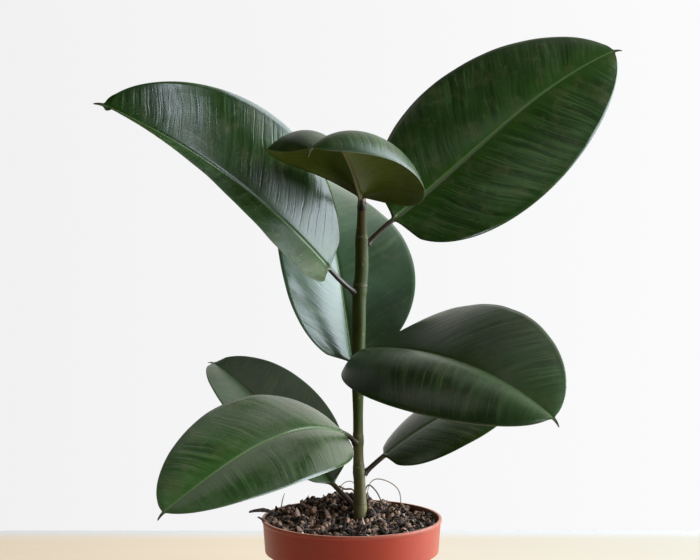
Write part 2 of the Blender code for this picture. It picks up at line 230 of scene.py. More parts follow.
def stack_up(name, first_radius, first_height, sides, steps):
    """Extrude a round face through each (radius, height); it is left in edit mode."""
    bpy.ops.mesh.primitive_circle_add(vertices=sides, radius=first_radius * MM,
                                      fill_type="NGON", location=(0.0, 0.0, first_height * MM))
    piece = named(name)
    bpy.ops.object.mode_set(mode="EDIT")
    radius, height = first_radius, first_height
    for next_radius, next_height in steps:
        rise = (next_height - height) * MM
        bpy.ops.mesh.extrude_region_move(TRANSFORM_OT_translate={"value": (0.0, 0.0, rise)})
        grow = next_radius / radius
        bpy.ops.transform.resize(value=(grow, grow, 1.0), center_override=(0.0, 0.0, next_height * MM))
        radius, height = next_radius, next_height
    return piece


base_corner = [(BASE_RADIUS - BASE_ROUND * (1.0 - math.sin(turn)), BASE_ROUND * (1.0 - math.cos(turn)))
               for turn in np.linspace(0.0, 0.5 * math.pi, CORNER_STEPS)[1:]]
outside = base_corner + [WAIST, BAND_LOW, BAND_HIGH, LIP_LOW, LIP_TOP]
inside = [
    (BAND_HIGH[0] - POT_WALL, POT_HEIGHT),
    (BAND_LOW[0] - POT_WALL, BAND_LOW[1] + POT_WALL),
    (WAIST[0] - POT_WALL, WAIST[1] + POT_WALL),
    (BASE_RADIUS - POT_WALL, BASE_ROUND + POT_FLOOR),
    (BASE_RADIUS - POT_WALL - BASE_ROUND, POT_FLOOR),
]
pot = stack_up("nursery_pot", BASE_RADIUS - BASE_ROUND, 0.0, POT_SIDES, outside + inside)
faces_out()
print("pot profile steps:", len(outside) + len(inside))

# %% [markdown]
# Moulded plastic has no knife edges: the lip, the step under the band and the
# foot are all a little round. A Bevel modifier with an angle limit rounds every
# sharp edge alike. The eight drain holes are drilled with a Boolean first.

# %% Drill the holes and round the edges
DRAIN_HOLES, DRAIN_RADIUS, DRAIN_CIRCLE = 8, 4.5, 32.0
DRILL_LENGTH, DRILL_SIDES = 8.0, 32
for hole in range(DRAIN_HOLES):
    turn = math.tau * (hole + 0.5) / DRAIN_HOLES
    bpy.ops.mesh.primitive_cylinder_add(
        vertices=DRILL_SIDES, radius=DRAIN_RADIUS * MM, depth=DRILL_LENGTH * MM,
        location=(DRAIN_CIRCLE * MM * math.cos(turn), DRAIN_CIRCLE * MM * math.sin(turn), 0.0))
    drill = named("drill")
    apply_modifier(pot, "BOOLEAN", operation="DIFFERENCE", solver="EXACT", object=drill)
    bpy.data.objects.remove(drill)
apply_modifier(pot, "BEVEL", width=EDGE_ROUND * MM, segments=3, limit_method="ANGLE",
               angle_limit=math.radians(EDGE_ANGLE))
print("pot after drilling and rounding:", len(pot.data.polygons), "faces")

# %% [markdown]
# Matt polypropylene scatters light softly. Its surface copies a spark-eroded
# mould, with a grain of under a millimetre. The colour is even, darker where wet
# mix has splashed it. A paler band round the top of the lip is a painted highlight,
# and the inner wall above the step is painted dark, as painted shade under the rim.
# Each of these is a layer with its own share, laid over the last.

# %% The pot's moulded plastic
pot_plastic, add, shader, place = new_material(
    "moulded_polypropylene", IOR=1.4, Roughness=0.42, Sheen_Weight=0.32, Sheen_Roughness=0.5,
    Sheen_Tint="#FFD0B4")
height = add("SeparateXYZ", [place], out="Z")
cloud = add("TexNoise", {"Vector": place, "Scale": cells(31.25), "Detail": 4.0})
splash_size = add("TexNoise", {"Vector": place, "Scale": cells(3.85), "Detail": 3.0, "Roughness": 0.6})
near_rim = add("MapRange", [height, 0.098, 0.105, 0.85, 0.6])
splash = add("Math GREATER_THAN", [splash_size, near_rim])
# A paler band round the top of the lip: a painted highlight.
lip_painted_highlight = add("MapRange", [height, 0.1036, 0.1058, 0.0, 0.4])
# The inner wall above the step is painted dark: painted shade under the rim.
flat_place = add("VectorMath MULTIPLY", [place, (1.0, 1.0, 0.0)])
from_axis = add("VectorMath LENGTH", [flat_place], out="Value")
wall_middle = add("MapRange", [height, 0.0848, 0.106, 0.0572, 0.0583])
within = add("Math LESS_THAN", [from_axis, wall_middle])
above_step = add("Math GREATER_THAN", [height, 0.0845])
inner_wall = add("Math MULTIPLY", [within, above_step])
inner_wall_painted_shade = add("Math MULTIPLY", [inner_wall, 0.8])
shade = add("Mix", {0: cloud, 6: "#862008", 7: "#9E2A0C"}, **COLOURS)
# The last two layers are a painted highlight on the lip and painted shade on the inner wall.
for share, over in ((splash, "#5E3A2C"), (lip_painted_highlight, "#B4705A"), (inner_wall_painted_shade, "#24100A")):
    shade = add("Mix", {0: share, 6: shade, 7: over}, **COLOURS)
grain = add("TexNoise", {"Vector": place, "Scale": cells(0.7143), "Detail": 2.0})
bumps = add("Bump", {"Height": grain, "Strength": 0.35, "Distance": 0.05 * MM})
fill_sockets(shader, {"Base Color": shade, "Normal": bumps})
finish_piece(pot, pot_plastic, "pot", edge_angle=40)

# %% [markdown]
# ## The stem's line
#
# The stem rises almost straight, thins half-way, and swells at each node, the
# place where a leaf stands. The same stations shape the leaves' feet, so they
# come before everything that grows.

# %% Stem stations: height with sideways place, and height with radius
STEM_FOOT, STEM_TOP = 52.0, 316.0
STEM_LINE = ((52, 5), (120, 5.4), (152, 4.2), (205, 4.2), (250, 4.8), (275, 6.6),
             (316, 6.6))
STEM_GIRTH = ((52, 4.4), (112, 4.3), (131, 3.9), (151, 3.4), (171, 3.3), (205, 4.3),
              (235, 4.6), (277, 4.4), (291, 4), (304, 3.1), (316, 2.6))
NODE_HEIGHTS = (112, 136, 157, 198, 210, 257, 289, 313)
NODE_SWELL, NODE_SWELL_LENGTH = 0.4, 3.0


def eased(at, stations):
    """A value that eases from station to station."""
    heights, values = np.array(stations).T
    step = np.clip(np.searchsorted(heights, at, side="right") - 1, 0, len(heights) - 2)
    share = smoothstep((at - heights[step]) / (heights[step + 1] - heights[step]))
    return values[step] + (values[step + 1] - values[step]) * share


def stem_radius(at):
    """The stem's radius at a height, with the swelling at each node."""
    radius = eased(at, STEM_GIRTH)
    for node_height in NODE_HEIGHTS:
        radius = radius + NODE_SWELL * np.exp(-((at - node_height) / NODE_SWELL_LENGTH) ** 2)
    return radius


print("stem radius at mid height:", round(float(stem_radius(180.0)), 2), "mm")

# %% [markdown]
# ## The potting mix
#
# The mix is peat with bark, a little perlite and dead roots. Its body fills the
# pot and heaps up round the stem. Displacing one flat disc would make soft
# dunes, but real mix is made of separate crumbs. So the body is a lumpy base,
# and crumbs, chips and grains are then strewn on it as little solids.

# %% The body of the mix
MIX_SIDES, MIX_RINGS = 144, 46
MIX_GAP = 0.3
MIX_LEVEL = POT_HEIGHT - 3.0
MIX_EDGE = 98.5
MOUND_RISE, MOUND_X, MOUND_Y, MOUND_RADIUS = 12.0, -4.0, 28.0, 25.0
DIP, DIP_HEADING = 1.5, 40.0
BANK_RISE, BANK_HEADING = 1.8, 158.0
BIG_RISE, SMALL_RISE = 0.55, 0.16
CRUMBS_DEEP = 0.8
HOLE_RADIUS, HOLE_X = 4.9, 5.3
STEP_DROP, BAND_WIDENS = 1.6, 0.95


def lump_waves(seed, count, shortest, longest):
    """Seeded waves: heading, rate and phase of each."""
    draw = np.random.default_rng(seed)
    waves = []
    for _ in range(count):
        heading = draw.uniform(0.0, math.tau)
        length = draw.uniform(shortest, longest)
        waves.append((heading, math.tau / length, draw.uniform(0.0, math.tau)))
    return waves


def lumps(waves, x, y):
    """The waves added up at places on the mix."""
    return sum(np.sin(rate * (x * math.cos(heading) + y * math.sin(heading)) + phase)
               for heading, rate, phase in waves)


BIG_LUMPS = lump_waves(7, 12, 10.0, 24.0)
SMALL_LUMPS = lump_waves(11, 26, 3.2, 8.0)


def towards(x, y, heading):
    """1 on this heading, falling to 0 a quarter turn from it."""
    return np.maximum(0.0, np.cos(np.arctan2(y, x) - math.radians(heading)))


def mix_height(x, y):
    """The height of the mix: a mound, a dip at the back right, a bank at the left, and lumps."""
    level = MIX_LEVEL + MOUND_RISE * np.exp(-(np.hypot(x - MOUND_X, y - MOUND_Y) / MOUND_RADIUS) ** 2)
    reach = np.minimum(1.0, np.hypot(x, y) / WAIST[0])
    level = level - DIP * towards(x, y, DIP_HEADING) ** 2 * reach ** 3
    level = level + BANK_RISE * towards(x, y, BANK_HEADING) ** 4 * reach ** 6
    return level + BIG_RISE * lumps(BIG_LUMPS, x, y)


base_inner = BASE_RADIUS - POT_WALL - 1.5 * MIX_GAP
ledge = BAND_LOW[1] + POT_WALL + 1.5 * MIX_GAP
edge_radius = BAND_LOW[0] - POT_WALL - MIX_GAP + BAND_WIDENS
wall_steps = [
    (base_inner, BASE_ROUND + POT_FLOOR + MIX_GAP),
    (WAIST[0] - POT_WALL - MIX_GAP, ledge - STEP_DROP),
    (BAND_LOW[0] - POT_WALL - MIX_GAP, ledge),
    (edge_radius, MIX_EDGE),
]
mix = stack_up("potting_mix_body", base_inner - BASE_ROUND, POT_FLOOR + MIX_GAP, MIX_SIDES, wall_steps)
ring_step = (edge_radius - HOLE_RADIUS) / MIX_RINGS
for ring in range(MIX_RINGS):
    bpy.ops.mesh.inset(thickness=ring_step * MM)
hole_depth = (MIX_EDGE - STEM_FOOT + MIX_GAP) * MM
bpy.ops.mesh.extrude_region_move(TRANSFORM_OT_translate={"value": (0.0, 0.0, -hole_depth)})
faces_out()

# %% Shape the top of the mix and shift the hole to the stem
places = points_of(mix)
x, y, z = places.T
on_top = np.abs(z - MIX_EDGE) < 0.05
radius = np.hypot(x, y)
inward = np.clip((edge_radius - radius) / (edge_radius - HOLE_RADIUS), 0.0, 1.0)
inside_hole = (radius < HOLE_RADIUS + 0.1) & (z < MIX_EDGE - 1.0) & (z > STEM_FOOT - 12.0)
x += np.where(on_top, HOLE_X * inward, np.where(inside_hole, HOLE_X, 0.0))
rough = mix_height(x, y) - CRUMBS_DEEP + SMALL_RISE * lumps(SMALL_LUMPS, x, y)
z[:] = np.where(on_top, rough, z)
move_points(mix, places)
print("mix surface from", round(float(z[on_top].min()), 1), "to", round(float(z[on_top].max()), 1), "mm")

# %% [markdown]
# Damp peat is near black in its pores and brown on its crumbs. Composted bark is
# duller and greyer, perlite is a pale puffed glass, and dead root fibres are
# straw coloured. All are rough, so they share one recipe: a speckle of about a
# millimetre, and a tone that each strewn piece carries, so no two neighbours
# look alike.

# %% A finish for anything strewn: two colours mixed by the piece's own tone


def strewn_material(name, dark, light, grain, depth, roughness):
    """A dull material: each piece's tone picks a colour between dark and light."""
    coat, add, shader, place = new_material(name, IOR=1.4, Roughness=roughness)
    tone = add("Attribute", out="Fac", attribute_name="tone")
    speckle = add("TexNoise", {"Vector": place, "Scale": cells(grain), "Detail": 4.0, "Roughness": 0.65})
    centred = add("Math ADD", [speckle, -0.5])
    mixed = add("Math MULTIPLY_ADD", [centred, 0.9, tone], use_clamp=True)
    shade = add("Mix", {0: mixed, 6: dark, 7: light}, **COLOURS)
    bumps = add("Bump", {"Height": speckle, "Strength": 0.8, "Distance": depth * MM})
    fill_sockets(shader, {"Base Color": shade, "Normal": bumps})
    return coat


peat = strewn_material("damp_peat", "#120A07", "#A4826C", 1.111, 0.4, 0.85)
bark = strewn_material("composted_bark", "#1A0E0A", "#A88A7A", 1.667, 0.3, 0.75)
perlite = strewn_material("grey_perlite", "#7D7468", "#D8D0C2", 0.909, 0.2, 0.8)
dead_root = strewn_material("dead_root_fibre", "#2E241C", "#A8967E", 1.4286, 0.1, 0.7)
keep_values(mix, "tone", np.full(len(places), 0.12))
finish_piece(mix, peat, "potting_mix")

# %% [markdown]
# A crumb starts as an ico sphere and is pushed in and out along a few seeded
# directions. A chip is the same sphere made long, flat and a little bent. Five
# of each are modelled once and copied, each copy with its own mesh and tone.

# %% Model a few crumbs and chips to copy
DENTS = 7


def lump_model(name, seed, stretch, dent, bend=0.0):
    """A rough lump one millimetre in radius, stretched by three numbers."""
    bpy.ops.mesh.primitive_ico_sphere_add(subdivisions=2, radius=1.0 * MM)
    model = named(name)
    draw = np.random.default_rng(seed)
    places = points_of(model)
    pushed = np.ones(len(places))
    for _ in range(DENTS):
        way = draw.normal(size=3)
        way /= np.linalg.norm(way)
        pushed += dent * draw.uniform(-1.0, 1.0) * np.clip(places @ way, 0.0, 1.0) ** 2
    places = places * pushed[:, None] * np.array(stretch)
    places[:, 2] += bend * places[:, 0] ** 2
    move_points(model, places)
    return model


crumb_models = [lump_model("crumb", seed, (1.1, 0.8, 0.65), 0.9) for seed in range(5)]
chip_models = [lump_model("chip", 20 + seed, (1.9, 0.7, 0.3), 0.7, 0.12) for seed in range(5)]
print("models:", len(crumb_models), "crumbs and", len(chip_models), "chips")

# %% Strew copies over the mix
LARGEST_SHARE = 0.2
DARK_POWER = 2.2


def turned_by(spin, tilt, way):
    """A turn about the upright axis, after a tilt towards a heading."""
    axis = (-math.sin(way), math.cos(way), 0.0)
    return np.array(Matrix.Rotation(tilt, 3, axis) @ Matrix.Rotation(spin, 3, "Z"))


def joined(name, pieces):
    """Join the pieces into one object with this name."""
    only(pieces[0])
    for piece in pieces:
        piece.select_set(True)
    bpy.ops.object.join()
    return named(name)


def strew(name, models, seed, count, sizes, tilt, sunk, darkest=0.0):
    """Copy the models over the mix at seeded places, sizes, turns and tones; few are light."""
    draw = np.random.default_rng(seed)
    shapes = [points_of(model) for model in models]
    copies = []
    while len(copies) < count:
        size = draw.uniform(*sizes) if draw.random() > LARGEST_SHARE else sizes[1]
        radius = (edge_radius - 0.4 - 0.9 * size) * math.sqrt(draw.random())
        turn = draw.uniform(0.0, math.tau)
        x, y = radius * math.cos(turn), radius * math.sin(turn)
        way = turned_by(draw.uniform(0.0, math.tau), math.radians(draw.uniform(0.0, tilt)),
                        draw.uniform(0.0, math.tau))
        tone = darkest + (1.0 - darkest) * draw.random() ** DARK_POWER
        if math.hypot(x - HOLE_X, y) < HOLE_RADIUS + 0.5 * size:
            continue
        which = len(copies) % len(models)
        copy = bpy.data.objects.new(name, models[which].data.copy())
        bpy.context.scene.collection.objects.link(copy)
        shape = shapes[which] @ way.T * size
        lift = -shape[:, 2].min() * (1.0 - sunk)
        move_points(copy, shape + np.array([x, y, mix_height(x, y) - CRUMBS_DEEP + lift]))
        keep_values(copy, "tone", np.full(len(shape), tone))
        copies.append(copy)
    return joined(name, copies)


crumbs = strew("peat_crumbs", crumb_models, 3, 1150, (0.7, 2.2), 180, 0.25)
finish_piece(crumbs, peat, edge_angle=28)
chips = strew("bark_chips", chip_models, 4, 420, (0.8, 2.0), 60, 0.1)
finish_piece(chips, bark, edge_angle=28)
grains = strew("perlite_grains", crumb_models, 5, 110, (0.5, 1.1), 180, 0.2, darkest=0.2)
finish_piece(grains, perlite)
for model in crumb_models + chip_models:
    bpy.data.objects.remove(model)

# %% [markdown]
# Dead roots lie in and on the mix, thin and springy, and some arch up over it.
# A root is a path curve with a round bevel, given a radius that runs out at its
# ends, and made a mesh. Each starts and ends in the mix or on the pot's lip.

# %% Roots and twigs
SHORT_ROOTS = 130
ROOT_REACH, ROOT_LIMIT = 50.0, 54.0
ROOT_LENGTHS, ROOT_RISES, ROOT_SAGS, ROOT_GIRTHS = (4.0, 13.0), (1.0, 2.8), (-2.0, 2.0), (0.2, 0.42)
ENDS_DEEP = 0.6


def thread(line, radius, seed):
    """A thin root or twig along a smooth line of points, thinner at both ends."""
    line = np.array(line, float)
    along = np.concatenate([[0.0], np.cumsum(np.linalg.norm(np.diff(line, axis=0), axis=1))])
    draw = np.random.default_rng(seed)
    bpy.ops.curve.primitive_nurbs_path_add()
    curve = bpy.context.object
    spline = curve.data.splines[0]
    spline.points.add(len(line) - len(spline.points))
    for point, place, share in zip(spline.points, line, along / along[-1]):
        point.co = (*(place * MM), 1.0)
        point.radius = 0.55 + 0.45 * math.sin(math.pi * min(share, 1.0)) + draw.uniform(-0.1, 0.1)
    set_all(spline, use_endpoint_u=True, resolution_u=3)
    set_all(curve.data, bevel_depth=radius * MM, bevel_resolution=1, use_fill_caps=True)
    only(curve)
    bpy.ops.object.convert(target="MESH")
    piece = named("root")
    keep_values(piece, "tone", np.full(len(piece.data.vertices), draw.uniform(0.2, 0.9)))
    return piece


def arch(start, end, rise, sag):
    """A line of six points that arches from one place on the mix to another."""
    share = np.linspace(0.0, 1.0, 6)
    (x0, y0), (x1, y1) = start, end
    x = x0 + (x1 - x0) * share + sag * np.sin(math.tau * share)
    y = y0 + (y1 - y0) * share + sag * np.sin(math.pi * share)
    return np.stack([x, y, mix_height(x, y) - ENDS_DEEP + rise * np.sin(math.pi * share)], -1)


def strewn_roots(seed, count):
    """Short roots that lie on the mix at seeded places."""
    draw = np.random.default_rng(seed)
    made = []
    for number in range(count):
        turn = draw.uniform(0.0, math.tau)
        radius = ROOT_REACH * math.sqrt(draw.uniform(0.05, 1.0))
        start = np.array([radius * math.cos(turn), radius * math.sin(turn)])
        heading = draw.uniform(0.0, math.tau)
        end = start + draw.uniform(*ROOT_LENGTHS) * np.array([math.cos(heading), math.sin(heading)])
        if np.hypot(*end) > ROOT_LIMIT:
            end = 0.6 * end
        line = arch(start, end, draw.uniform(*ROOT_RISES), draw.uniform(*ROOT_SAGS))
        made.append(thread(line, draw.uniform(*ROOT_GIRTHS), seed + number))
    return made


# %% Lay the roots: five that stand up by the stem, and short ones all over
right_arch = [(9.8, 21, 110.5), (10.4, 22, 118), (11.6, 24, 125), (15.7, 25, 127.4),
              (20.2, 26, 126.8), (26.2, 27, 124.6), (31.4, 28, 120.6), (34, 29, 115.6),
              (33.4, 30, 109), (34.2, 31, 101.5)]
right_twig = [(8, 20, 111), (9, 22, 121), (11, 24, 124.8), (14.5, 26, 120.8),
              (17, 28, 118), (20, 30, 112), (21.5, 31, 105.5)]
left_knot = [(3, 17, 109), (2.4, 19, 119), (0.8, 22, 121.6), (-3.4, 24, 119.6),
             (-7.1, 25, 120.2), (-8.6, 26, 123.6), (-10.2, 28, 118.6), (-11.5, 29, 111.5)]
left_arch = [(-8.6, 29, 111.5), (-8.6, 27, 119.6), (-7, 25, 123.8), (-3.4, 24, 125.4),
             (1, 22, 127.2), (3.6, 20, 122), (4.6, 17, 109)]
upright_twig = [(-48.6, 30, 100.5), (-48.4, 30, 105), (-48.1, 30, 109.5), (-47.2, 30.5, 112.6),
                (-46, 31, 115.9)]
standing_roots = ((right_arch, 0.42), (right_twig, 0.6), (left_knot, 0.65), (left_arch, 0.3),
                  (upright_twig, 0.45))
roots = strewn_roots(31, SHORT_ROOTS)
for number, (line, girth) in enumerate(standing_roots):
    roots.append(thread(line, girth, 80 + number))
roots = joined("dead_roots", roots)
finish_piece(roots, dead_root)

# %% [markdown]
# Two splinters of bark hang over the left of the lip, where the pot was filled
# to the brim, and two lie on the mix. A splinter is a small box, cut into
# lengths, that tapers, bends and is a little ragged.

# %% Bark splinters


def splinter(start, end, width, thick, tone, bend):
    """A flat tapered splinter between two places, a little bent upwards."""
    bpy.ops.mesh.primitive_cube_add(size=2.0 * MM)
    piece = named("splinter")
    bpy.ops.object.mode_set(mode="EDIT")
    bpy.ops.mesh.subdivide(number_cuts=5)
    bpy.ops.object.mode_set(mode="OBJECT")
    start = np.array(start)
    ahead = np.array(end) - start
    side = np.cross([0.0, 0.0, 1.0], ahead / np.linalg.norm(ahead))
    side /= np.linalg.norm(side)
    up = np.cross(ahead / np.linalg.norm(ahead), side)
    x, y, z = points_of(piece).T
    share = 0.5 + 0.5 * x
    ragged = 1.0 + 0.25 * np.sin(9.0 * share + 3.0 * y)
    taper = (0.35 + 0.65 * np.sin(math.pi * (0.12 + 0.8 * share))) * ragged
    lift = 0.5 * thick * taper * z + bend * np.sin(math.pi * share)
    move_points(piece, start + share[:, None] * ahead + (0.5 * width * taper * y)[:, None] * side
                + lift[:, None] * up)
    keep_values(piece, "tone", np.full(len(x), tone))
    return piece


splinters = joined("bark_splinters", [
    splinter((-68.2, -1.0, 109.6), (-50.0, 8.0, 106.0), 2.2, 2.1, 0.05, 2.2),
    splinter((-62.0, -6.0, 107.2), (-51.0, -20.0, 102.6), 2.4, 1.2, 0.3, 0.8),
    splinter((-52.0, -18.0, 103.4), (-38.0, -30.0, 102.2), 2.6, 1.4, 0.5, 0.8),
    splinter((10.0, -34.0, 103.2), (22.0, -26.0, 103.6), 2.8, 1.4, 0.9, 1.0),
])
finish_piece(splinters, bark, edge_angle=50)

# %% [markdown]
# ## Wrapping a sheet round a form
#
# The stem, the sheath and the leaves are all long bodies with changing
# sections. One way is to extrude ring after ring. Here one flat grid is bent
# round the form, as paper round a parcel: one of its directions runs along the
# body and the other runs round it. Its seam is then merged and its ends closed.

# %% Lay out a grid and close it round a form


def sheet_for(name, rings, around):
    """A flat grid; gives it with each point's ring number and number round the form."""
    bpy.ops.mesh.primitive_grid_add(x_subdivisions=rings - 1, y_subdivisions=around, size=2.0)
    piece = named(name)
    x, y, _ = points_of(piece).T * MM
    ring = np.rint(0.5 * (x + 1.0) * (rings - 1)).astype(int)
    side = np.rint(0.5 * (y + 1.0) * around).astype(int) % around
    return piece, ring, side


def close_round(piece):
    """Merge the seam and the ends of a wrapped sheet and turn its faces outwards."""
    only(piece)
    bpy.ops.object.mode_set(mode="EDIT")
    bpy.ops.mesh.select_all(action="SELECT")
    bpy.ops.mesh.remove_doubles(threshold=0.002 * MM)
    bpy.ops.mesh.fill_holes(sides=0)
    faces_out()


# %% [markdown]
# ## The stem
#
# A rubber plant's stem is smooth and green when young. It turns olive and then
# grey-brown from the foot up, with pale pores, called lenticels. Above each
# leaf's foot a thin ring goes right round, where the sheath of that leaf once
# sat. The ring scars are modelled, because they catch the light on the outline,
# and each point keeps how far it is up a scar, for the bark's colour.

# %% Wrap the stem
STEM_STEP, STEM_SIDES = 0.75, 44
SCARS_ABOVE_NODE = (3.4, 4.6)
SCAR_RISE, SCAR_LENGTH, SCAR_SLANT = 0.22, 0.55, 0.5
RIPPLES = ((0.07, 5.0, 17.0), (0.05, 3.0, -9.0))

stem_heights = np.append(np.arange(STEM_FOOT, STEM_TOP, STEM_STEP), STEM_TOP)
stem, ring, side = sheet_for("plant_stem", len(stem_heights) + 2, STEM_SIDES)
level = np.concatenate([[STEM_FOOT], stem_heights, [STEM_TOP]])[ring]
turn = math.tau * side / STEM_SIDES
radius = stem_radius(level)
scar = np.zeros(len(level))
for node_height in NODE_HEIGHTS:
    for above in SCARS_ABOVE_NODE:
        from_scar = level - node_height - above + SCAR_SLANT * np.cos(turn + node_height)
        ridge = np.exp(-(from_scar / SCAR_LENGTH) ** 2)
        radius += SCAR_RISE * ridge
        scar = np.maximum(scar, ridge)
for rise, ridges, pitch in RIPPLES:
    radius += rise * np.sin(ridges * turn + level / pitch)
radius[(ring == 0) | (ring == ring.max())] = 0.0
centre_x = eased(level, STEM_LINE)
move_points(stem, np.stack([centre_x + radius * np.cos(turn), radius * np.sin(turn), level], -1))
keep_values(stem, "scar", scar)
close_round(stem)

# %% [markdown]
# Young bark is waxy, so it has a soft shine. Its colour comes from height: dull
# olive brown at the foot, green above, and brown at the tip. The foot's olive is
# the bark's own ageing, made paler as painted light from the window. Fine lines run
# along it, which is noise squeezed sideways and stretched upwards. A scar has a
# dark foot and a pale top, and the pores are small pale Voronoi cells.

# %% The stem's bark
stem_bark, add, shader, place = new_material("green_stem_bark", IOR=1.3, Roughness=0.55)
height = add("SeparateXYZ", [place], out="Z")
blotch = add("TexNoise", {"Vector": place, "Scale": cells(11.11), "Detail": 4.0})
centred = add("Math ADD", [blotch, -0.5])
wavering = add("Math MULTIPLY_ADD", [centred, 0.05, height])
# The share from the pale olive foot to green; the foot's paleness is partly painted light.
green_over_aged_lit_foot = add("MapRange", [wavering, 0.11, 0.17])
near_tip = add("MapRange", [wavering, 0.275, 0.31])
long_place = add("Mapping", {"Vector": place, "Scale": (1.0, 1.0, 0.06)})
lines = add("TexNoise", {"Vector": long_place, "Scale": cells(0.769), "Detail": 3.0})
line_share = add("MapRange", [lines, 0.45, 0.8, 0.0, 0.45])
scar = add("Attribute", out="Fac", attribute_name="scar")
scar_foot = add("MapRange", [scar, 0.02, 0.4, 0.0, 0.35])
scar_top = add("MapRange", [scar, 0.4, 1.0, 0.0, 0.35])
pore_place = add("Mapping", {"Vector": place, "Scale": (1.0, 1.0, 0.6)})
pore = add("TexVoronoi", {"Vector": pore_place, "Scale": cells(3.85)}, out="Distance")
pore_share = add("MapRange", [pore, 0.16, 0.1, 0.0, 0.55])
# The foot colour is the bark's ageing, made paler as painted light.
shade = add("Mix", {0: green_over_aged_lit_foot, 6: "#6C6642", 7: "#364010"}, **COLOURS)
for share, over in ((near_tip, "#46381A"), (line_share, "#2E2B14"), (scar_foot, "#2A2210"),
                    (scar_top, "#8C8862"), (pore_share, "#7C7A50")):
    shade = add("Mix", {0: share, 6: shade, 7: over}, **COLOURS)
relief = add("Math ADD", [lines, pore_share])
bumps = add("Bump", {"Height": relief, "Strength": 0.5, "Distance": 0.12 * MM})
fill_sockets(shader, {"Base Color": shade, "Normal": bumps})
finish_piece(stem, stem_bark, "stem")

# %% [markdown]
# ## The sheath of the growing tip
#
# The next leaf grows rolled up in a red papery sheath, whose free edge winds
# round it. It is a slim cone with a low ridge along that edge. Its skin is thin
# and a little glossy, darker along fine lines that run up it.

# %% Wrap the sheath
BUD_LENGTH, BUD_RADIUS, BUD_POINT = 34.0, 2.7, 0.3
BUD_LEAN, BUD_WAY = math.radians(8.0), math.radians(75.0)
BUD_RINGS, BUD_SIDES = 60, 32
BUD_SINK = 0.4
EDGE_WIND, EDGE_RISE, EDGE_WIDTH, OPPOSITE_DIP = 7.0, 0.09, 0.5, 0.03

bud, ring, side = sheet_for("growing_tip_sheath", BUD_RINGS + 2, BUD_SIDES)
share = np.clip((ring - 1) / (BUD_RINGS - 1), 0.0, 1.0)
turn = math.tau * side / BUD_SIDES
radius = (BUD_RADIUS - BUD_POINT) * (1.0 - share ** 1.7) + BUD_POINT
round_edge = np.mod(turn - EDGE_WIND * share, math.tau)
ridge = EDGE_RISE * np.exp(-round_edge / EDGE_WIDTH)
radius = radius * (1.0 + ridge - OPPOSITE_DIP * np.sin(round_edge * 0.5))
radius[(ring == 0) | (ring == ring.max())] = 0.0
drift = BUD_LENGTH * share ** 2 * math.sin(BUD_LEAN)
move_points(bud, np.stack([
    eased(STEM_TOP, STEM_LINE) + drift * math.cos(BUD_WAY) + radius * np.cos(turn),
    drift * math.sin(BUD_WAY) + radius * np.sin(turn),
    STEM_TOP - BUD_SINK + (BUD_LENGTH + 0.6) * share], -1))
close_round(bud)

sheath_skin, add, shader, place = new_material("red_sheath_skin", IOR=1.45, Roughness=0.38)
height = add("SeparateXYZ", [place], out="Z")
up_share = add("MapRange", [height, 0.316, 0.345])
long_place = add("Mapping", {"Vector": place, "Scale": (1.0, 1.0, 0.08)})
lines = add("TexNoise", {"Vector": long_place, "Scale": cells(0.6667), "Detail": 3.0})
shade = add("Mix", {0: up_share, 6: "#7A3A2A", 7: "#A33A3A"}, **COLOURS)
shade = add("Mix", {0: lines, 6: shade, 7: "#5E2222"}, **COLOURS)
bumps = add("Bump", {"Height": lines, "Strength": 0.4, "Distance": 0.1 * MM})
fill_sockets(shader, {"Base Color": shade, "Normal": bumps})
finish_piece(bud, sheath_skin, "bud_sheath")

# %% [markdown]
# ## The leaves
#
# Each leaf leaves the stem on a round stalk. The stalk runs on under the blade
# as a thick midrib, which shows on top as a pale groove. The blade is an oval
# with a drip tip, folded at the midrib, and each half curls on its own. Fine
# side veins leave the midrib every few millimetres. One set of numbers a leaf
# gives all this, and the same numbers shaped the CAD nodes.

# %% The eight leaves: place, size and bends, in millimetres and degrees
Leaf = namedtuple("Leaf", "height azimuth petiole length width rise bend droop droop_end "
                          "sweep roll twist fold curl close")
LEAVES = {
    "leaf_lower_back": Leaf(112, 132, 25, 160, 68, 29, 0, 19, -34, -1, -21, 5, (28, 35), (-9, -4), -9),
    "leaf_lower_right": Leaf(136, 7, 16, 121, 86, 43, -4, -28, -5, 2, 11, 3, (3, 2), (-25, -26), 6),
    "leaf_lower_front": Leaf(157, 235, 13, 190, 79, 42, -21, -90, 50, -1, -31, 16, (5, 9), (-30, -12), 10),
    "leaf_middle_back": Leaf(198, 110, 11, 182, 105, 57, 9, 12, -62, -2, -3, 43, (28, 28), (-14, 9), -29),
    "leaf_middle_right": Leaf(210, 298, 19, 179, 114, 63, -56, -16, -26, 21, 20, 9, (17, 36),
                              (-16, -73), -7),
    "leaf_upper_left": Leaf(257, 215, 24, 195, 98, 33, 12, -24, 1, -11, -76, 5, (23, 2), (11, 3), 35),
    "leaf_upper_right": Leaf(289, 12, 22, 205, 108, 47, -10, 22, -39, 11, 70, -16, (12, 9),
                             (-19, -14), -10),
    "leaf_top": Leaf(313, 267, 17, 133, 116, 40, -36, 134, -178, -24, -14, 23, (60, 63), (-119, -96), -28),
}
print("leaves:", ", ".join(LEAVES))

# %% [markdown]
# The outline is a power curve, blunt at the base and drawn out at the tip. The
# midrib's line is walked in small steps, because its pitch and heading change
# all the way; at each step it carries its own forward, left and upward ways.

# %% The outline and the midrib's line
BASE_POWER, TIP_POWER = 0.46, 0.60
DRIP_LENGTH, DRIP_HALF_WIDTH = 7.0, 1.7
DRIP_HOOK, DRIP_HOOK_LENGTH = -32.0, 12.0
LINE_STEPS = 400


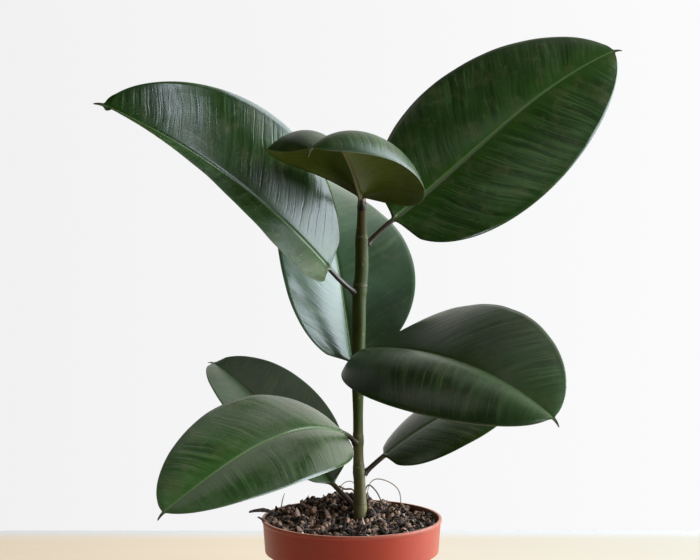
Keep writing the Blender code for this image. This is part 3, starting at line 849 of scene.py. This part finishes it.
def half_width_at(share, leaf):
    """Half the blade's width at a share of its length."""
    drip = DRIP_LENGTH / leaf.length
    body = np.clip(share / (1.0 - drip), 0.0, 1.0)
    peak = BASE_POWER / (BASE_POWER + TIP_POWER)
    full = peak ** BASE_POWER * (1.0 - peak) ** TIP_POWER
    oval = 0.5 * leaf.width * body ** BASE_POWER * (1.0 - body) ** TIP_POWER / full
    drip_width = DRIP_HALF_WIDTH * np.clip((1.0 - share) / (2.0 * drip), 0.0, 1.0) ** TIP_POWER
    return np.hypot(oval, drip_width)


def midrib_line(leaf, along):
    """Places and forward, left and upward directions at distances from the stem."""
    fine = np.linspace(0.0, leaf.petiole + leaf.length, LINE_STEPS)
    share = np.clip((fine - leaf.petiole) / leaf.length, 0.0, 1.0)
    stalk = np.clip(fine / leaf.petiole, 0.0, 1.0)
    hook = np.clip((fine - fine[-1]) / DRIP_HOOK_LENGTH + 1.0, 0.0, 1.0)
    pitch = leaf.rise + leaf.bend * stalk + leaf.droop * share + leaf.droop_end * share ** 2
    pitch = np.radians(pitch + DRIP_HOOK * hook ** 2)
    heading = np.radians(leaf.azimuth + leaf.sweep * share)
    ahead = np.stack([np.cos(pitch) * np.cos(heading), np.cos(pitch) * np.sin(heading), np.sin(pitch)], -1)
    steps = 0.5 * (fine[1] - fine[0]) * (ahead[1:] + ahead[:-1])
    run = np.concatenate([np.zeros((1, 3)), np.cumsum(steps, axis=0)])
    way = math.radians(leaf.azimuth)
    foot = np.array([eased(leaf.height, STEM_LINE), 0.0, leaf.height])
    foot = foot + stem_radius(leaf.height) * np.array([math.cos(way), math.sin(way), 0.0])
    left = np.stack([-np.sin(heading), np.cos(heading), np.zeros_like(heading)], -1)
    up = np.cross(ahead, left)
    roll = np.radians(leaf.roll + leaf.twist * share)[:, None]
    rolled_left = left * np.cos(roll) + up * np.sin(roll)
    rolled_up = up * np.cos(roll) - left * np.sin(roll)
    rows = (run + foot, ahead, rolled_left, rolled_up)
    return [np.stack([np.interp(along, fine, row[:, axis]) for axis in range(3)], -1) for row in rows]


# %% [markdown]
# A section of the blade is a loop: over the top from left to right, round the
# right margin, and back underneath. Its points sit close together at the midrib,
# where the groove and the rib need them. The side veins lie in shallow waves
# that lean towards the tip, as they show in the shine of the real leaf.

# %% The loop of points round a blade
RIB_STEPS, BLADE_STEPS = 5, 15
half_loop = np.concatenate([np.linspace(0.0, 1.0, RIB_STEPS, endpoint=False),
                            1.0 + np.linspace(0.0, 1.0, BLADE_STEPS + 1) ** 0.9])
over_top = np.concatenate([half_loop[::-1], -half_loop[1:]])
LOOP = len(over_top)
AROUND = 2 * LOOP + 2
loop_place = np.concatenate([over_top, [-2.0], over_top[::-1], [2.0]])
loop_under = np.concatenate([np.zeros(LOOP), [0.5], np.ones(LOOP), [0.5]])
loop_angle = np.concatenate([np.linspace(0.0, math.pi, LOOP + 1)[:-1], [math.pi],
                             np.linspace(math.pi, math.tau, LOOP + 1)[1:], [0.0]])
print("points round a blade:", AROUND)

# %% Stations along a leaf, closer at the stalk and both ends
STATION_STEP = 1.15
FLAT_WIDTH = 9.0
FOOT_INSIDE, STALK_RINGS = 1.2, 16


def leaf_stations(leaf):
    """Distances from the stem, from inside it to the very tip."""
    stalk = np.linspace(-0.5 * FOOT_INSIDE, leaf.petiole - 0.5, STALK_RINGS)
    stalk = np.concatenate([[-FOOT_INSIDE, -FOOT_INSIDE], stalk])
    share = np.linspace(0.0, 1.0, int(leaf.length / STATION_STEP))
    turn = math.tau * share
    eased_share = share - (0.11 * np.sin(turn) + 0.02 * math.pi * np.sin(2.0 * turn)) / math.pi
    return np.concatenate([stalk, leaf.petiole + leaf.length * eased_share])


def blade_arc(leaf, places, share, half_width):
    """Sideways and upward offsets and the slope, for signed places across the blade."""
    left = places >= 0.0
    across = np.abs(places)
    flat = np.minimum(1.0, half_width / FLAT_WIDTH)
    fold = np.where(left, leaf.fold[0], leaf.fold[1])
    start = np.radians(fold + leaf.close * share) * flat
    turn = np.radians(np.where(left, leaf.curl[0], leaf.curl[1])) * flat
    turn = np.where(np.abs(turn) < 0.001, 0.001, turn)
    slope = start + turn * across
    out = half_width * (np.sin(slope) - np.sin(start)) / turn
    lift = half_width * (np.cos(start) - np.cos(slope)) / turn
    return out, lift, slope


# %% [markdown]
# Real leaves are never quite even. Each leaf draws its own seeded waves: two
# that lift the margin by a fraction of a millimetre, and the phase of its veins.
# They are too small to move the outline in the picture. Each point also keeps
# where it is on the blade, how far from the margin, how dusty its leaf is, with
# the dust partly painted sheen and light, and how matt its leaf is, for the finish to read.

# %% Wrap one leaf
RIB_HALF_WIDTH = 2.2
VEIN_SPACING, VEIN_LEAN, VEIN_CURVE = 7.4, 0.42, 0.004
VEIN_TOP, VEIN_UNDER = 0.018, 0.05
VEINS_FROM_RIB, VEINS_FULL_AFTER, VEINS_FADE_OUT = 3.0, 8.0, 7.0
STRONG_VEINS_APART, STRONG_SHARE = 33.0, 0.35
GROOVE_TIP, GROOVE_BASE = 0.14, 0.34
SHOULDER_RISE, SHOULDER_AT = 0.14, 2.4
RIB_TIP, RIB_BASE = 0.2, 2.0
THIN, THICKER, THICK_OVER = 0.34, 0.32, 14.0
MARGIN_WAVES = ((0.16, 38.0, 52.0), (0.07, 19.0, 26.0))
STALK_RADIUS, STALK_FLARE, FLARE_LENGTH = 1.7, 0.7, 5.0
BLADE_START = 0.03


def wrap_leaf(name, leaf, dust_and_sheen, matte, seed):
    """One leaf as a closed skin, with what the finish needs stored at its points."""
    draw = np.random.default_rng(seed)
    stations = leaf_stations(leaf)
    piece, ring, side = sheet_for(name, len(stations), AROUND)
    centre, ahead, left, up = (row[ring] for row in midrib_line(leaf, np.maximum(stations, 0.0)))
    along = stations[ring]
    centre = centre + np.minimum(along, 0.0)[:, None] * ahead
    share = np.clip((along - leaf.petiole) / leaf.length, 0.0, 1.0)
    base_share = 1.0 - share
    half_width = np.maximum(half_width_at(share, leaf), 0.05)

    rib_share = np.minimum(RIB_HALF_WIDTH / half_width, 0.35)
    place, under = loop_place[side], loop_under[side]
    steps_out = np.abs(place)
    across = np.where(steps_out < 1.0, steps_out * rib_share,
                      rib_share + (1.0 - rib_share) * (steps_out - 1.0))
    sign = np.where(place >= 0.0, 1.0, -1.0)
    out, lift, slope = blade_arc(leaf, sign * across, share, half_width)
    off = across * half_width
    soft = slope * smoothstep(off / 2.6)
    outward = sign[:, None] * left
    normal = np.cos(soft)[:, None] * up - np.sin(soft)[:, None] * outward
    tangent = np.cos(soft)[:, None] * outward + np.sin(soft)[:, None] * up

    to_margin = half_width - off
    blade_along = along - leaf.petiole
    phase = math.tau * (blade_along - VEIN_LEAN * off - VEIN_CURVE * off ** 2)
    vein = np.sin(phase / VEIN_SPACING + draw.uniform(0.0, 6.0))
    strong = np.sin(phase / STRONG_VEINS_APART + draw.uniform(0.0, 6.0))
    vein = vein * (1.0 - STRONG_SHARE + STRONG_SHARE * strong)
    vein = vein * smoothstep((off - VEINS_FROM_RIB) / VEINS_FULL_AFTER)
    vein = vein * smoothstep(to_margin / VEINS_FADE_OUT)
    thick = THIN + THICKER * smoothstep(to_margin / THICK_OVER)
    groove = (GROOVE_TIP + GROOVE_BASE * base_share) * np.exp(-(off / (0.5 + 0.75 * base_share)) ** 2)
    shoulder = SHOULDER_RISE * base_share * np.exp(-(off - SHOULDER_AT) ** 2)
    top = 0.5 * thick - groove + shoulder + VEIN_TOP * vein
    rib_round = 0.5 + 0.5 * np.cos(math.pi * np.minimum(off / (0.8 + 1.5 * base_share), 1.0))
    bottom = -0.5 * thick - (RIB_TIP + RIB_BASE * base_share) * rib_round ** 0.7 - VEIN_UNDER * vein
    margin_wave = np.zeros(len(share))
    for rise, shortest, longest in MARGIN_WAVES:
        turn = math.tau * blade_along / draw.uniform(shortest, longest)
        margin_wave += rise * np.sin(turn + draw.uniform(0.0, 6.0))
    margin_wave *= across ** 4 * smoothstep(share / 0.15) * smoothstep(base_share / 0.15)
    deep = np.where(under < 0.25, top, np.where(under > 0.75, bottom, 0.0)) + margin_wave
    round_margin = np.where(np.abs(under - 0.5) < 0.25, 0.3 * thick, 0.0)
    blade = centre + out[:, None] * outward + lift[:, None] * up
    blade = blade + deep[:, None] * normal + round_margin[:, None] * tangent

    angle = loop_angle[side]
    foot = np.clip(1.0 - along / FLARE_LENGTH, 0.0, 1.2)
    stalk_radius = STALK_RADIUS + STALK_FLARE * foot ** 2
    stalk_radius = stalk_radius * (1.0 - 0.1 * np.exp(-((angle - 0.5 * math.pi) / 0.45) ** 2))
    stalk = centre + stalk_radius[:, None] * (np.cos(angle)[:, None] * left + np.sin(angle)[:, None] * up)
    spread = smoothstep(share / BLADE_START)[:, None]
    places = spread * blade + (1.0 - spread) * stalk
    ends = (ring == 0) | (ring == ring.max())
    places[ends] = centre[ends]
    move_points(piece, places)
    keep_values(piece, "leaf_place", np.stack([blade_along, sign * off, under], -1))
    keep_values(piece, "leaf_edge", np.stack([to_margin, share, np.full(len(share), dust_and_sheen)], -1))
    keep_values(piece, "leaf_matte", np.full(len(share), matte))
    close_round(piece)
    return piece


# %% [markdown]
# The upper skin is a waxy cuticle over dark green tissue. Side veins run out
# from the midrib about 7 mm apart. They are laid out in the blade's own
# millimetres, stored at its points, so they bend with it. Streaks between them
# are noise drawn out along the veins. The same streaks change the gloss and
# raise the skin, as in the streaky shine of a real leaf, and they colour the
# tissue paler and darker as the painted sheen and painted shade of that shine.
# Older leaves wear a grey layer of dust, and some are more matt than others. On
# the two back leaves the dust is laid on thicker, as painted sheen and painted light.

# %% The leaf's finish: places on the blade
leaf_skin, add, shader, place = new_material("waxy_leaf_skin", IOR=1.45)
leaf_place = add("Attribute", out="Vector", attribute_name="leaf_place")
along, across, underside = add("SeparateXYZ", [leaf_place], out=None).outputs
leaf_edge = add("Attribute", out="Vector", attribute_name="leaf_edge")
to_margin, share, dust_and_sheen = add("SeparateXYZ", [leaf_edge], out=None).outputs
matte = add("Attribute", out="Fac", attribute_name="leaf_matte")
off = add("Math ABSOLUTE", [across])
from_rib = add("MapRange", [off, 1.5, 10.0])
from_margin = add("MapRange", [to_margin, 1.0, 7.0])
vein_fade = add("Math MULTIPLY", [from_rib, from_margin])

# %% Side veins
lean = add("Math MULTIPLY_ADD", [off, VEIN_CURVE, VEIN_LEAN])
lean_back = add("Math MULTIPLY", [lean, off])
straight = add("Math SUBTRACT", [along, lean_back])
waver = add("TexNoise", {"Vector": place, "Scale": cells(33.3), "Detail": 2.0})
wavered = add("Math MULTIPLY_ADD", [waver, 9.0, straight])
turns = add("Math MULTIPLY", [wavered, math.tau / VEIN_SPACING])
vein_wave = add("Math SINE", [turns])
line = add("MapRange", [vein_wave, 0.78, 1.0], interpolation_type="SMOOTHSTEP")
patchy = add("TexNoise", {"Vector": place, "Scale": cells(38.5), "Detail": 3.0})
patchy_share = add("MapRange", [patchy, 0.36, 0.6])
line_strength = add("Math MULTIPLY", [vein_fade, patchy_share])
vein = add("Math MULTIPLY", [line, line_strength])
vein_share = add("Math MULTIPLY", [vein, 0.24])

# %% Streaks along the veins, 5 mm wide and 60 mm long, laid out anew on each leaf
sideways = add("CombineXYZ", [wavered, across])
per_leaf = add("VectorMath MULTIPLY", [place, (9.0, 9.0, 9.0)])
drawn_out = add("VectorMath MULTIPLY_ADD", [sideways, (0.2, 0.016, 0.0), per_leaf])
streak = add("TexNoise", {"Vector": drawn_out, "Scale": 1.0, "Detail": 3.0, "Roughness": 0.6})
# Pale streaks are painted sheen and dark streaks are painted shade, copying the streaky shine.
painted_sheen_streak = add("MapRange", [streak, 0.5, 0.68, 0.0, 0.48])
painted_shade_streak = add("MapRange", [streak, 0.48, 0.34, 0.0, 0.6])
painted_sheen_share = add("Math MULTIPLY", [painted_sheen_streak, line_strength])
painted_shade_share = add("Math MULTIPLY", [painted_shade_streak, vein_fade])

# %% Clouds, the bright middle, mottling, specks and the dust, partly painted sheen
cloud = add("TexNoise", {"Vector": place, "Scale": cells(45.5), "Detail": 5.0})
cloud_share = add("MapRange", [cloud, 0.35, 0.68])
middle = add("MapRange", [off, 20.0, 1.0, 0.0, 0.6], interpolation_type="SMOOTHSTEP")
mottle = add("TexNoise", {"Vector": place, "Scale": cells(13.3), "Detail": 4.0, "Roughness": 0.6})
mottle_share = add("MapRange", [mottle, 0.52, 0.66, 0.0, 0.4])
spot = add("TexNoise", {"Vector": place, "Scale": cells(5.26), "Detail": 4.0, "Roughness": 0.6})
specks = add("MapRange", [spot, 0.58, 0.72, 0.0, 0.2])
# A grey-green dust layer, laid thicker on the two back leaves as painted sheen and painted light.
dust_and_sheen_patch = add("MapRange", [cloud_share, 0.0, 1.0, 0.5, 1.2])
dust_and_sheen_share = add("Math MULTIPLY", [dust_and_sheen, dust_and_sheen_patch])

# %% Midrib, rim and drip tip, and all the layers of the upper side
rib_reach = add("MapRange", [share, 0.0, 1.0, 1.9, 0.5])
rib_ratio = add("Math DIVIDE", [off, rib_reach])
rib_share = add("MapRange", [rib_ratio, 1.2, 0.5, 0.0, 0.75])
rim_share = add("MapRange", [to_margin, 0.6, 0.2, 0.0, 0.5])
drip_share = add("MapRange", [share, 0.955, 0.985])
upper = add("Mix", {0: cloud_share, 6: "#182E08", 7: "#253E14"}, **COLOURS)
# The second and third layers are the painted sheen and painted shade of the streaks.
for layer, over in ((middle, "#29470F"), (painted_sheen_share, "#4C6638"), (painted_shade_share, "#122006"),
                    (vein_share, "#4A6A38"), (mottle_share, "#474A2A"), (specks, "#5A6444"),
                    (dust_and_sheen_share, "#728E7A"), (rib_share, "#51663A"), (rim_share, "#5C6848"),
                    (drip_share, "#262212")):
    upper = add("Mix", {0: layer, 6: upper, 7: over}, **COLOURS)

# %% [markdown]
# The underside is matt olive with a thin ruddy rib, and the stalk is dark
# red-brown, painted lighter on its upper side as painted light from above. Where
# the stalk spreads into the blade its colour fades out over a few millimetres, as
# the green does on a growing leaf.

# %% Underside, stalk and how they meet
under_rib = add("MapRange", [off, 2.2, 0.8, 0.0, 0.6])
under = add("Mix", {0: cloud_share, 6: "#444E06", 7: "#58620E"}, **COLOURS)
for layer, over in ((vein, "#62672C"), (under_rib, "#66541E")):
    under = add("Mix", {0: layer, 6: under, 7: over}, **COLOURS)
flip = add("MapRange", [underside, 0.3, 0.7])
both = add("Mix", {0: flip, 6: upper, 7: under}, **COLOURS)
# The stalk's upper side is painted lighter than its underside: painted light from above.
stalk_top_painted_light = add("MapRange", [underside, 0.0, 1.0, 0.5, 0.0])
stalk_shade = add("Mix", {0: stalk_top_painted_light, 6: "#1C0F09", 7: "#40321E"}, **COLOURS)
blade_share = add("MapRange", [along, -3.0, 6.0])
whole = add("Mix", {0: blade_share, 6: stalk_shade, 7: both}, **COLOURS)

# %% Gloss and relief
spot_gloss = add("Math MULTIPLY_ADD", [spot, 0.1, 0.05])
streak_gloss = add("Math MULTIPLY_ADD", [streak, 0.18, spot_gloss])
upper_gloss = add("Math ADD", [matte, streak_gloss])
blade_gloss = add("Mix", {0: flip, 2: upper_gloss, 3: 0.5})
gloss = add("Mix", {0: blade_share, 2: 0.42, 3: blade_gloss})
fine = add("TexNoise", {"Vector": place, "Scale": cells(2.38), "Detail": 3.0})
fine_low = add("Math MULTIPLY", [fine, 0.12])
streak_high = add("Math MULTIPLY_ADD", [streak, vein_fade, fine_low])
relief = add("Math MULTIPLY_ADD", [vein, -0.22, streak_high])
bumps = add("Bump", {"Height": relief, "Strength": 1.0, "Distance": 0.28 * MM})
fill_sockets(shader, {"Base Color": whole, "Roughness": gloss, "Normal": bumps})
print("nodes in the leaf's finish:", len(leaf_skin.node_tree.nodes))

# %% Wrap and finish all eight, each with its dust, partly painted sheen and light, and how matt it is
# Dust per leaf and how matt it is; the middle and lower back leaves get more, as painted sheen and light.
DUST_AND_SHEEN = {
    "leaf_lower_back": (0.14, 0.14), "leaf_lower_right": (0.0, 0.1), "leaf_lower_front": (0.02, 0.08),
    "leaf_middle_back": (0.28, 0.06), "leaf_middle_right": (0.03, 0.16), "leaf_upper_left": (0.0, 0.05),
    "leaf_upper_right": (0.0, 0.04), "leaf_top": (0.0, 0.24),
}
for number, (node, leaf) in enumerate(LEAVES.items()):
    blade = wrap_leaf(node.replace("leaf_", "") + "_leaf", leaf, *DUST_AND_SHEEN[node], 50 + number)
    finish_piece(blade, leaf_skin, node)

# %% [markdown]
# ## Floor, light and camera
#
# The plant stands on a pale table before a white wall, with a large window at
# the right. The table ends straight across behind the pot, as in the picture.
# The camera sees a white wall behind, painted a little darker at the left as
# painted shade. The plant is lit by a soft dome that is bright behind it at the
# right, by the window, by a high lamp at the left, and by a small reflector and a
# faint room light that put the shine on two leaves.

# %% Table top
TABLE_BACK, TABLE_FADE = 0.44, 0.04
TABLE_WIDTH, TABLE_DEPTH = 1.6, 1.0
bpy.ops.mesh.primitive_plane_add(size=1.0, location=(0.0, TABLE_BACK - 0.5 * TABLE_DEPTH, 0.0))
bpy.ops.transform.resize(value=(TABLE_WIDTH, TABLE_DEPTH, 1.0))
floor = named("pale_table")
floor_coat, add, shader, place = new_material("pale_table_top", Roughness=0.6)
across, deep, _ = add("SeparateXYZ", [place], out=None).outputs
grain_place = add("VectorMath MULTIPLY", [place, (2.0, 30.0, 1.0)])
grain = add("TexNoise", {"Vector": grain_place, "Scale": 1.0, "Detail": 3.0})
# Towards the window the board and its hazy back are painted greyer and darker: painted shade against the
# window's light.
window_side = add("MapRange", [across, -0.1, 0.3, 0.0, 0.8])
back_share = add("MapRange", [deep, TABLE_BACK - TABLE_FADE, TABLE_BACK], interpolation_type="SMOOTHSTEP")
board = add("Mix", {0: grain, 6: "#E8D0B2", 7: "#F2E0C6"}, **COLOURS)
window_side_painted_shade = add("Mix", {0: window_side, 6: board, 7: "#C8C2B2"}, **COLOURS)
hazy = add("Mix", {0: window_side, 6: "#E6E4E2", 7: "#D6D4D2"}, **COLOURS)
faded = add("Mix", {0: back_share, 6: window_side_painted_shade, 7: hazy}, **COLOURS)
fill_sockets(shader, {"Base Color": faded})
floor.data.materials.append(floor_coat)

# %% Soft light all round
world = bpy.data.worlds.new("soft_studio")
bpy.context.scene.world = world
world.use_nodes = True
tree = world.node_tree
tree.nodes.clear()
add = partial(add_node, tree)
way = add("TexCoord", out="Generated")
facing = add("VectorMath DOT_PRODUCT", [way, (0.6, 0.7, 0.25)], out="Value")
turned_to = add("MapRange", [facing, -0.5, 0.9])
rounded = add("Math POWER", [turned_to, 3.0])
dome = add("Math MULTIPLY_ADD", [rounded, 1.45, 0.025])
dome_light = add("Background", ["#FFFEF8", dome])
# The wall behind is painted a little darker at the left: painted shade.
rightward = add("SeparateXYZ", [way], out="X")
wall_light = add("MapRange", [rightward, -0.2, 0.2, 0.89, 0.97])
wall_with_painted_shade = add("Background", ["#FEFEFF", wall_light])
seen = add("LightPath", out="Is Camera Ray")
sky = add("MixShader", [seen, dome_light, wall_with_painted_shade])
add("OutputWorld", [sky], out=None)
print("nodes in the light all round:", len(tree.nodes))

# %% Window, lamps and reflector


def area_light(name, place, aim, size, power, tint):
    """A soft light, size wide and high, at a place in metres, turned towards an aim."""
    bpy.ops.object.light_add(type="AREA", location=place)
    lamp = bpy.context.object
    lamp.name = name
    set_all(lamp.data, shape="RECTANGLE", size=size[0], size_y=size[1], energy=power, color=colour(tint)[:3])
    way = np.array(aim) - np.array(place)
    flat = math.hypot(way[0], way[1])
    lamp.rotation_euler = (math.atan2(flat, -way[2]), 0.0, math.atan2(way[1], way[0]) - 0.5 * math.pi)
    print(f"{name}: {power} W, {size[0]} by {size[1]} m")


area_light("window", (1.53, 0.02, 0.633), (0.0, 0.0, 0.28), (1.6, 1.335), 80.0, "#E6F2FF")
area_light("reflector", (0.254, -0.435, 0.172), (-0.107, -0.074, 0.378), (0.055, 0.05), 0.32, "#E6F2FF")
area_light("room_light", (0.343, -0.694, 0.843), (0.127, 0.02, 0.34), (0.42, 0.22), 0.16, "#FBFDFF")
area_light("left_lamp", (-0.95, -0.4, 1.65), (0.0, 0.0, 0.25), (1.5, 1.2), 4.6, "#FFFAF0")

# %% Camera at the photo's place
EYE_SIDE, EYE_BACK, EYE_HEIGHT = -0.0012, 1.089, 0.3365
EYE_PITCH = 3.79
bpy.ops.object.camera_add(location=(EYE_SIDE, -EYE_BACK, EYE_HEIGHT),
                          rotation=(math.radians(90.0 - EYE_PITCH), 0.0, 0.0))
camera = bpy.context.object
camera.name = "photo_camera"
set_all(camera.data, lens=85.0, sensor_width=36.0, clip_start=0.01)
bpy.context.scene.camera = camera
bpy.context.scene.view_settings.view_transform = "Standard"
print("camera looks down by", EYE_PITCH, "degrees")
